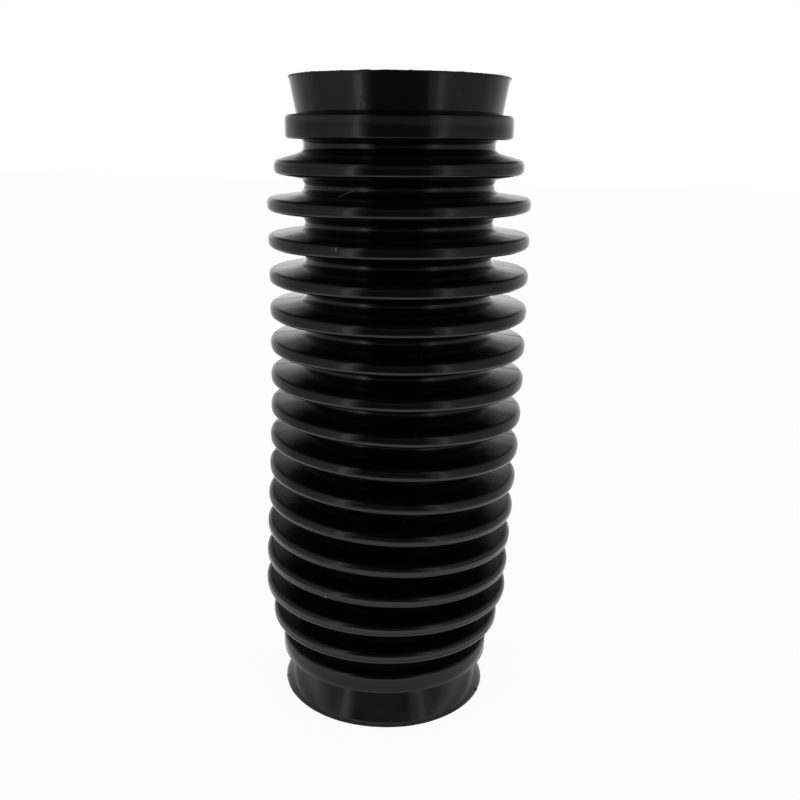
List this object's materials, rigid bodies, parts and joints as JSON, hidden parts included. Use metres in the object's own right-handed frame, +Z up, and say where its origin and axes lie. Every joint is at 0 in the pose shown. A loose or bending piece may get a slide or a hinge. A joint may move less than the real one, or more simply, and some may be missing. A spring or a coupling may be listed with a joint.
{
  "type": "bellows boot",
  "caption": "Moulded rubber bellows boot: a long sleeve of rounded rings with a plain collar and bead at each end.",
  "frame": {"origin": "centre of the lower collar's foot, on the boot's axis", "axes": "+Z up the boot's axis, from the lower collar to the flared upper collar; X and Y are alike"},
  "size_m": [0.08, 0.08, 0.1967],
  "materials": {
    "rubber": "semi-gloss moulded rubber"
  },
  "bodies": {
    "root": {"bellows_boot": "rubber"}
  },
  "joints": []
}
